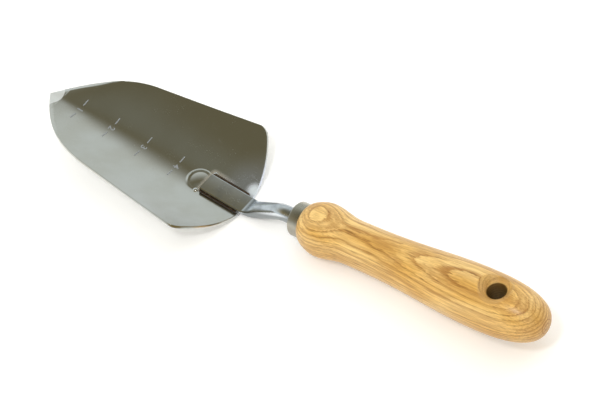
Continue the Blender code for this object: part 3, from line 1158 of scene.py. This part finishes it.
def build_ash_grain() -> None:
    """Growth layers, pores and fibres of flat-sawn ash, in the handle's frame in metres."""
    inputs = {"Vector": (0.0, 0.0, 0.0), "Spacing": 1.9 * MM, "Phase": 11.1 * MM}
    graph, given = Group.ASH_GRAIN.open(inputs)
    vector = given["Vector"]
    down, across, along = graph.split(vector)
    tilt = graph.ease(along, 40 * MM, 100 * MM, 0.13, 0.2)
    layer = graph.minus(graph.times(down, -1.0), graph.times(tilt, across))
    for stretch, scale, detail, roughness, reach in ASH_WAVES:
        bend = graph.noise(graph.stretched(vector, stretch), scale, detail, roughness)
        layer = graph.added(graph.minus(bend, 0.5), reach, layer)
    counted = graph.math("DIVIDE", graph.minus(layer, given["Phase"]), given["Spacing"])
    share = graph.math("FRACT", counted)
    late = graph.math("MAXIMUM", graph.ease(share, 0.5, 1.0), graph.ease(share, 0.0, 0.1, 1.0, 0.0))
    year = graph.add("TexWhiteNoise", {"W": graph.math("FLOOR", counted)}, noise_dimensions="1D").outputs[0]
    faded = graph.noise(graph.stretched(vector, 0.3), 120.0)
    strength = graph.times(graph.added(year, 0.4, 0.6), graph.ease(faded, 0.3, 0.6, 0.55, 1.0))
    ring = graph.times(graph.math("POWER", late, 1.6), strength)
    flat = {0: layer, 1: graph.times(across, 0.2), 2: graph.times(along, 0.02)}
    dashes = graph.noise(graph.stretched(vector, 0.06), 1700.0, 2.0, 0.6)
    results = {
        "Ring": ring,
        "Pores": graph.times(graph.ease(dashes, 0.5, 0.64), graph.added(ring, 0.8, 0.2)),
        "Fibres": graph.noise(graph.stretched(vector, 0.03), 1100.0, 4.0, 0.7),
        "Streaks": graph.noise(graph.add("CombineXYZ", flat).outputs[0], 620.0, 4.0, 0.7),
        "Tone": graph.noise(graph.stretched(vector, 0.35), 70.0),
    }
    Group.ASH_GRAIN.close(graph, results)


def new_material(name: str) -> tuple[Material, Graph, bpy.types.NodeInputs]:
    """A material with a Principled BSDF.

    Args:
        name: Its name.

    Returns:
        The material, its graph and its shader's inputs.
    """
    made = bpy.data.materials.new(name)
    made.use_nodes = True
    return made, Graph(made.node_tree), made.node_tree.nodes["Principled BSDF"].inputs


@dataclass(frozen=True)
class Look:
    """A finish at a point: its colour, roughness and metalness, as sockets or fixed values."""

    colour: Input
    rough: Input
    metal: Input

    def under(self, graph: Graph, share: Socket, top: "Look") -> "Look":
        """This look with another laid over it.

        Args:
            graph: The material's graph.
            share: How much of the other shows.
            top: The other look.

        Returns:
            The new look, whose metalness stays a plain number where both looks have the same.
        """
        metal = self.metal if self.metal == top.metal else graph.between(share, self.metal, top.metal)
        rough = graph.between(share, self.rough, top.rough)
        return Look(graph.blend(share, self.colour, top.colour), rough, metal)


@dataclass(frozen=True, kw_only=True)
class Overlay:
    """A place on a piece where the steel has another look."""

    look: Look

    def share(self, graph: Graph, place: Socket) -> Socket:
        """How much of the other look shows.

        Args:
            graph: The material's graph.
            place: Coordinates in the material's frame.

        Returns:
            0 where the steel keeps its own look, 1 where it has the other one.
        """
        raise NotImplementedError


@dataclass(frozen=True, kw_only=True)
class HeatTint(Overlay):
    """The brown halo that welding left round the tang's plate."""

    look: Look = Look((0.42, 0.37, 0.285), 0.4, 0.35)
    near_side: float = -6.2 * MM
    near_fade: float = 2.5
    far_side: float = 8.8 * MM
    fade_from: float = 0.6 * MM
    fade_to: float = 3.8 * MM
    strength: float = 0.8
    unevenness: float = 1.2 * MM

    def share(self, graph: Graph, place: Socket) -> Socket:
        """The tint, which fades outwards from the plate's foot."""
        x, y, _ = graph.split(place)
        ahead = graph.math("MAXIMUM", graph.minus(PLATE_FRONT, x), 0.0)
        near = graph.times(graph.minus(self.near_side, y), self.near_fade)
        beside = graph.math("MAXIMUM", graph.math("MAXIMUM", graph.minus(y, self.far_side), near), 0.0)
        away = graph.added(graph.noise(place, 300.0), self.unevenness, graph.length(ahead, beside))
        return graph.ease(away, self.fade_from, self.fade_to, self.strength, 0.0)


@dataclass(frozen=True, kw_only=True)
class PaintedHighlightSpot(Overlay):
    """A painted highlight: a round pale spot beside the plate's rear end, standing in for a bright
    reflection.
    """

    centre: Pair = (150.5 * MM, 11.5 * MM)
    fade_from: float
    fade_to: float
    strength: float

    def share(self, graph: Graph, place: Socket) -> Socket:
        """The painted highlight, which fades outwards."""
        x, y, _ = graph.split(place)
        away = graph.length(graph.minus(x, self.centre[0]), graph.minus(y, self.centre[1]))
        return graph.ease(away, self.fade_from, self.fade_to, self.strength, 0.0)


@dataclass(frozen=True, kw_only=True)
class GroundTip(Overlay):
    """The paler, coarser face that grinding left at the tip and along the bevels, inside the tip's arcs."""

    look: Look = Look((0.71, 0.74, 0.74), 0.35, 0.45)
    blade: Blade
    bevel_from: float = 12.0 * MM
    bevel_fade: float = 4.0 * MM
    bevel_width: float = 2.7 * MM
    bevel_gone: float = -0.4 * MM
    strength: float = 0.25
    blur: float = 0.2 * MM

    def share(self, graph: Graph, place: Socket) -> Socket:
        """The ground faces: all of the tip's, and a little of the bevels'."""
        x, y, _ = graph.split(place)
        edge, end, centre = self.blade.tip_facet, self.blade.bevel_end, self.blade.tip_centre
        tip = graph.ease(graph.length(x, y), edge - 1.5 * self.blur, edge + self.blur, 1.0, 0.0)
        off_y = graph.minus(graph.math("ABSOLUTE", y), centre[1])
        inside = graph.minus(self.blade.tip_radius, graph.length(graph.minus(x, centre[0]), off_y))
        width = graph.ease(x, self.bevel_from, end, self.bevel_width, self.bevel_gone)
        bevel = graph.ease(graph.minus(inside, width), -self.blur, self.blur, self.strength, 0.0)
        front = graph.ease(x, end - self.bevel_fade, end, 1.0, 0.0)
        return graph.math("MAXIMUM", tip, graph.times(bevel, front))


@dataclass(frozen=True, kw_only=True)
class ForgeScaleAndShade(Overlay):
    """The dark colour on the sides of the tang's plate, below its polished top: forge scale, and painted
    shade of the gap along the plate's foot.
    """

    look: Look = Look((0.1, 0.075, 0.05), 0.4, 1.0)
    polished: Pair = (2.3 * MM, 2.8 * MM)
    side: Pair = (5.3 * MM, 5.9 * MM)
    rear: Pair = (150.0 * MM, 154.0 * MM)

    def share(self, graph: Graph, place: Socket) -> Socket:
        """The scale and painted shade, on the plate's sides."""
        x, y, z = graph.split(place)
        low = graph.ease(z, *self.polished, 1.0, 0.0)
        side = graph.ease(graph.math("ABSOLUTE", y), *self.side)
        return graph.times(graph.times(low, side), graph.ease(x, *self.rear, 1.0, 0.0))


@dataclass(frozen=True, kw_only=True)
class PaintedShadeNeck(Overlay):
    """Painted shade on the neck's lower side, below its cranked axis in the blade's frame."""

    look: Look = Look((0.27, 0.29, 0.3), 0.25, 1.0)
    run: Pair = (150.0 * MM, 196.0 * MM)
    rise: Pair = (2.2 * MM, 20.8 * MM)
    edge: Pair = (1.5 * MM, 3.4 * MM)
    plate_ends: Pair = (153.0 * MM, 157.0 * MM)

    def share(self, graph: Graph, place: Socket) -> Socket:
        """The painted shade, below the axis and behind the plate."""
        x, _, z = graph.split(place)
        height = graph.minus(z, graph.ease(x, *self.run, *self.rise))
        return graph.times(graph.ease(height, *self.edge, 1.0, 0.0), graph.ease(x, *self.plate_ends))


@dataclass(frozen=True, kw_only=True)
class PaintedShadeSleeve(Overlay):
    """Painted shade on the ferrule's lower side, in the handle's frame, whose X points down."""

    look: Look = Look((0.35, 0.33, 0.28), 0.35, 1.0)
    edge: Pair = (-6.0 * MM, -1.0 * MM)

    def share(self, graph: Graph, place: Socket) -> Socket:
        """The painted shade, below the sleeve's upper side."""
        return graph.ease(graph.split(place)[0], *self.edge)


@dataclass(frozen=True)
class Steel:
    """A steel finish, with a lathe's rings where it has a ring pitch."""

    name: str
    colour: Triple
    stain: Triple
    roughness: Pair
    metallic: float = 1.0
    line_scale: float = 4000.0
    line_stretch: float = 0.02
    cloud_scale: float = 40.0
    bump: float = 0.02
    overlays: tuple[Overlay, ...] = ()
    ring_pitch: float = 0.0
    ring_depth: float = 0.35

    def material(self, place: Matrix) -> Material:
        """The finish as a material.

        Args:
            place: The frame that the polishing lines follow along its X, and a lathe's rings along its Z.

        Returns:
            The material.
        """
        made, graph, shader = new_material(self.name)
        coordinates = graph.placed(place)
        inputs = {
            "Vector": coordinates,
            "Line Scale": self.line_scale,
            "Line Stretch": self.line_stretch,
            "Cloud Scale": self.cloud_scale,
        }
        wear = Group.METAL_WEAR.place(graph, inputs)
        colour = graph.blend(graph.ease(wear["Clouds"], 0.35, 0.75), self.colour, self.stain)
        look = Look(colour, graph.ease(wear["Clouds"], 0.3, 0.7, *self.roughness), self.metallic)
        for overlay in self.overlays:
            look = look.under(graph, overlay.share(graph, coordinates), overlay.look)
        rough = graph.added(wear["Pits"], 0.2, graph.added(wear["Scratches"], 0.12, look.rough))
        height = graph.added(wear["Pits"], -1.0, graph.added(wear["Scratches"], -0.6, wear["Lines"]))
        if self.ring_pitch:
            turned = graph.times(graph.split(coordinates)[2], math.tau / self.ring_pitch)
            height = graph.added(graph.math("SINE", turned), self.ring_depth, height)
        bump = {"Strength": self.bump, "Distance": 0.05 * MM, "Height": height}
        graph.feed(shader["Base Color"], look.colour)
        graph.feed(shader["Roughness"], rough)
        graph.feed(shader["Metallic"], look.metal)
        graph.feed(shader["Normal"], graph.add("Bump", bump).outputs[0])
        return made


@dataclass(frozen=True)
class Wood:
    """The lacquered ash, raw in its drilled hole with painted shade darkening its bore, and the lathe's rings
    on its butt.
    """

    name: str
    pale: Triple
    honey: Triple
    line: Triple
    pore: Triple
    raw: Triple = (0.5, 0.32, 0.13)
    painted_bore_shade: Triple = (0.03, 0.018, 0.003)
    sunk_edge: Pair = (9.7 * MM, 10.2 * MM)
    bore_edge: Pair = (5.4 * MM, 5.9 * MM)
    end_grain: Pair = (148.0 * MM, 160.0 * MM)
    butt: Pair = (156.5 * MM, 157.5 * MM)
    butt_edge: Pair = (5.4 * MM, 5.8 * MM)
    butt_ring: float = 2.0 * MM
    roughness: float = 0.5
    gloss: float = 0.3
    lacquer: float = 0.45
    lacquer_roughness: float = 0.28

    def material(self, place: Matrix) -> Material:
        """The finish as a material.

        Args:
            place: The handle's frame, which the grain follows.

        Returns:
            The material.
        """
        made, graph, shader = new_material(self.name)
        coordinates = graph.placed(place)
        x, y, z = graph.split(coordinates)
        grain = Group.ASH_GRAIN.place(graph, {"Vector": coordinates})
        lathe = self.lathe_rings(graph, graph.length(x, y), z)
        off_hole = graph.length(y, graph.minus(z, HOLE_AT))
        # Painted shade: the bore's wood is taken almost to black, for the shade inside the hole.
        bore = graph.ease(off_hole, *self.bore_edge, 0.76, 0.0)
        stains = (
            (graph.ease(grain["Tone"], 0.32, 0.68), self.honey),
            (graph.ease(grain["Streaks"], 0.42, 0.64, 0.0, 0.55), self.line),
            (graph.ease(grain["Fibres"], 0.42, 0.66, 0.0, 0.42), self.line),
            (graph.times(grain["Ring"], 0.9), self.line),
            (graph.times(grain["Pores"], 0.7), self.pore),
            (graph.times(lathe, 0.8), self.line),
            (graph.ease(z, *self.end_grain, 0.0, 0.3), self.line),
            (graph.ease(off_hole, *self.sunk_edge, 0.35, 0.0), self.raw),
            (bore, self.painted_bore_shade),
        )
        colour = self.pale
        for share, stain in stains:
            colour = graph.blend(share, colour, stain)
        height = graph.added(grain["Pores"], -1.0, graph.times(grain["Fibres"], 0.2))
        bump = {"Strength": 0.15, "Distance": 0.1 * MM, "Height": graph.minus(height, lathe)}
        graph.feed(shader["Base Color"], colour)
        graph.feed(shader["Roughness"], self.roughness)
        graph.feed(shader["Specular IOR Level"], self.gloss)
        graph.feed(shader["Coat Weight"], graph.times(graph.minus(1.0, bore), self.lacquer))
        graph.feed(shader["Coat Roughness"], self.lacquer_roughness)
        graph.feed(shader["Normal"], graph.add("Bump", bump).outputs[0])
        return made

    def lathe_rings(self, graph: Graph, radius: Socket, along: Socket) -> Socket:
        """The rings round the lathe's centre on the butt.

        Args:
            graph: The material's graph.
            radius: The distance from the handle's axis.
            along: The distance from the shoulder.

        Returns:
            1 in the rings' grooves and 0 elsewhere.
        """
        ripple = graph.math("COSINE", graph.times(radius, math.tau / self.butt_ring))
        groove = graph.times(graph.ease(ripple, 0.2, 0.9), graph.ease(along, *self.butt))
        return graph.times(groove, graph.ease(radius, *self.butt_edge, 1.0, 0.0))


# Studio


@dataclass(frozen=True)
class SoftBox:
    """A square soft light aimed at the trowel."""

    name: str
    place: Triple
    side: float
    glow: float
    in_reflections: bool = False

    def build(self) -> None:
        """Adds the light. Its glow is the brightness that it alone gives a white surface turned to it."""
        place = Vector(self.place)
        bpy.ops.object.light_add(type="AREA", location=place)
        box = named(self.name)
        box.rotation_euler = place.to_track_quat("Z", "Y").to_euler()
        box.data.size = self.side
        box.data.energy = self.glow * (math.pi * place.length) ** 2
        box.visible_glossy = self.in_reflections
        box.visible_camera = False


@dataclass
class Studio:
    """The pale floor, the soft light and the photograph's camera."""

    azimuth: float = 0.695926594
    elevation: float = 0.926827321
    roll: float = -0.0637998223
    focal: float = 1907.512
    distance: float = 1113.028 * MM
    centre: Pair = (251.035344, 210.533019)
    target: Triple = (157.0 * MM, 0.0, 0.0)
    clip: Pair = (0.05, 50.0)
    surround: Triple = (0.71, 0.75, 0.725)
    horizon: Triple = (0.78, 0.82, 0.82)
    horizon_fade: Pair = (0.0, 0.35)
    dark_centre: Triple = (0.424, -0.382, 0.821)
    dark_side: Pair = (0.0, 0.5)
    dark_foot: Pair = (0.14, 0.26)
    dark_low: Triple = (0.26, 0.19, 0.07)
    dark_middle: Triple = (0.165, 0.145, 0.085)
    dark_middle_from: Pair = (0.5, 0.8)
    dark_high: Triple = (0.21, 0.205, 0.155)
    dark_high_from: Pair = (0.88, 0.97)
    floor_size: float = 6.0
    floor_colour: float = 0.92
    floor_roughness: float = 0.9
    floor_lift: float = 0.2
    boxes: tuple[SoftBox, ...] = (
        SoftBox("key_box", (0.24, -0.51, 1.06), 0.18, 0.25, in_reflections=True),
        SoftBox("top_box", (0.0, 0.3, 1.6), 1.8, 0.45),
        SoftBox("left_box", (-1.5, -0.9, 0.9), 1.4, 0.25),
        SoftBox("right_box", (1.2, -1.2, 0.9), 1.4, 0.25),
        SoftBox("far_box", (0.3, 1.7, 0.9), 1.4, 0.25),
    )

    def add_floor(self) -> None:
        """The white table top, under the trowel's lowest point. The camera sees it lifted to white."""
        low = min(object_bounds()[0].z, 0.0)
        bpy.ops.mesh.primitive_plane_add(size=self.floor_size, location=(0.0, 0.0, low))
        floor = named("floor")
        made, graph, shader = new_material("white_table")
        rays = graph.add("LightPath", {}).outputs
        seen = graph.math("MAXIMUM", rays["Is Camera Ray"], rays["Is Glossy Ray"])
        seen = graph.math("MAXIMUM", seen, rays["Is Transmission Ray"])
        graph.feed(shader["Base Color"], (self.floor_colour,) * 3)
        graph.feed(shader["Roughness"], self.floor_roughness)
        graph.feed(shader["Specular IOR Level"], 0.0)
        graph.feed(shader["Emission Color"], (1.0, 1.0, 1.0))
        graph.feed(shader["Emission Strength"], graph.times(seen, self.floor_lift))
        made.cycles.emission_sampling = "NONE"
        floor.data.materials.append(made)
        floor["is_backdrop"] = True

    def light(self) -> None:
        """The soft boxes, and the room that the steel mirrors: a pale surround under a dark ceiling."""
        for box in self.boxes:
            box.build()
        world = bpy.data.worlds.new("studio")
        bpy.context.scene.world = world
        world.use_nodes = True
        graph = Graph(world.node_tree)
        direction = graph.add("TexCoord", {}).outputs["Generated"]
        centred = graph.add("VectorMath", {0: direction, 1: self.dark_centre}, operation="DOT_PRODUCT")
        height = graph.split(direction)[2]
        ceiling = graph.blend(graph.ease(height, *self.dark_middle_from), self.dark_low, self.dark_middle)
        ceiling = graph.blend(graph.ease(height, *self.dark_high_from), ceiling, self.dark_high)
        surround = graph.blend(graph.ease(height, *self.horizon_fade), self.horizon, self.surround)
        side = graph.ease(centred.outputs["Value"], *self.dark_side)
        dark = graph.times(side, graph.ease(height, *self.dark_foot))
        graph.feed(world.node_tree.nodes["Background"].inputs["Color"], graph.blend(dark, surround, ceiling))

    def add_camera(self, bench: Bench) -> None:
        """Adds the camera, fitted to the photograph in the blade's frame.

        Args:
            bench: Where the blade's frame lies.
        """
        right = Vector((math.cos(self.azimuth), math.sin(self.azimuth), 0.0))
        level = math.cos(self.elevation)
        back = Vector((level * right.y, -level * right.x, math.sin(self.elevation)))
        up = back.cross(right)
        turned_right = math.cos(self.roll) * right + math.sin(self.roll) * up
        turned_up = math.cos(self.roll) * up - math.sin(self.roll) * right
        x = (self.centre[0] - PHOTO_WIDTH / 2) / self.focal
        y = (PHOTO_HEIGHT / 2 - self.centre[1]) / self.focal
        place = Vector(self.target) - self.distance * (x * turned_right + y * turned_up - back)
        bpy.ops.object.camera_add()
        camera = named("camera")
        turned = Matrix((turned_right, turned_up, back)).transposed().to_4x4()
        camera.matrix_world = bench.blade @ Matrix.Translation(place) @ turned
        camera.data.sensor_width = SENSOR
        camera.data.lens = self.focal * SENSOR / PHOTO_WIDTH
        camera.data.clip_start, camera.data.clip_end = self.clip
        bpy.context.scene.camera = camera


def main() -> None:
    """Builds the trowel's pieces in order, then the studio."""
    logging.basicConfig(level=logging.INFO, format="%(name)s: %(message)s")
    bench, blade, tang, welds = Bench(), Blade(), Tang(), Welds()
    sheet_frame = bench.blade
    grip = sheet_frame @ tang.handle_place()
    build_metal_wear()
    build_ash_grain()

    blade_overlays = (
        HeatTint(),
        # Two painted highlights beside the plate's rear end: a wide bluish sheen and a small pale spot.
        PaintedHighlightSpot(look=Look((0.64, 0.68, 0.78), 0.2, 0.965), fade_from=8.0 * MM, fade_to=26.0 * MM, strength=1.0),
        PaintedHighlightSpot(look=Look((0.74, 0.82, 0.88), 0.4, 0.22), fade_from=1.3 * MM, fade_to=6.5 * MM, strength=0.9),
        GroundTip(blade=blade),
    )
    satin = Steel(
        "satin_stainless", (0.62, 0.63, 0.61), (0.57, 0.57, 0.53), (0.13, 0.18), overlays=blade_overlays
    )
    bright = Steel(
        "polished_forging",
        (0.7, 0.74, 0.79),
        (0.5, 0.53, 0.57),
        (0.12, 0.2),
        cloud_scale=110.0,
        # Painted shade darkens the neck's lower side; the plate's sides get scale and painted shade.
        overlays=(ForgeScaleAndShade(), PaintedShadeNeck()),
    )
    dull = Steel(
        "turned_steel",
        (0.47, 0.46, 0.4),
        (0.42, 0.4, 0.34),
        (0.2, 0.3),
        # Painted shade darkens the ferrule's lower side.
        overlays=(PaintedShadeSleeve(),),
        ring_pitch=0.55 * MM,
    )
    # The seams' dark scale also paints the shade in the gap along the plate's foot.
    scale = Steel("weld_scale_and_shade", (0.09, 0.06, 0.04), (0.2, 0.14, 0.09), (0.35, 0.5), cloud_scale=500.0)
    silver = Steel("weld_silver", (0.85, 0.88, 0.9), (0.7, 0.72, 0.74), (0.2, 0.3))
    etched = Steel("etched_steel", (0.3, 0.32, 0.34), (0.25, 0.27, 0.29), (0.5, 0.6), metallic=0.2)
    ash = Wood(
        "lacquered_ash", (0.92, 0.64, 0.25), (0.79, 0.47, 0.115), (0.38, 0.165, 0.03), (0.17, 0.068, 0.014)
    )

    pieces = (
        (blade.build, sheet_frame, Slot.BLADE, satin, ["blade"]),
        (tang.build, sheet_frame, Slot.TANG, bright, ["tang"]),
        (welds.seams, sheet_frame, Slot.TANG, scale, []),
        (welds.drops, sheet_frame, Slot.TANG, silver, []),
        (Ferrule().build, grip, Slot.FERRULE, dull, ["ferrule"]),
        (Handle().build, grip, Slot.HANDLE, ash, ["handle"]),
        (DepthMarks(blade).build, sheet_frame, Slot.BLADE, etched, []),
    )
    for build, place, slot, surface, nodes in pieces:
        finish(build(), place, surface.material(place), nodes)

    studio = Studio()
    studio.add_floor()
    studio.light()
    studio.add_camera(bench)
    bpy.context.scene.view_settings.view_transform = "Standard"


if __name__ == "__main__":
    main()
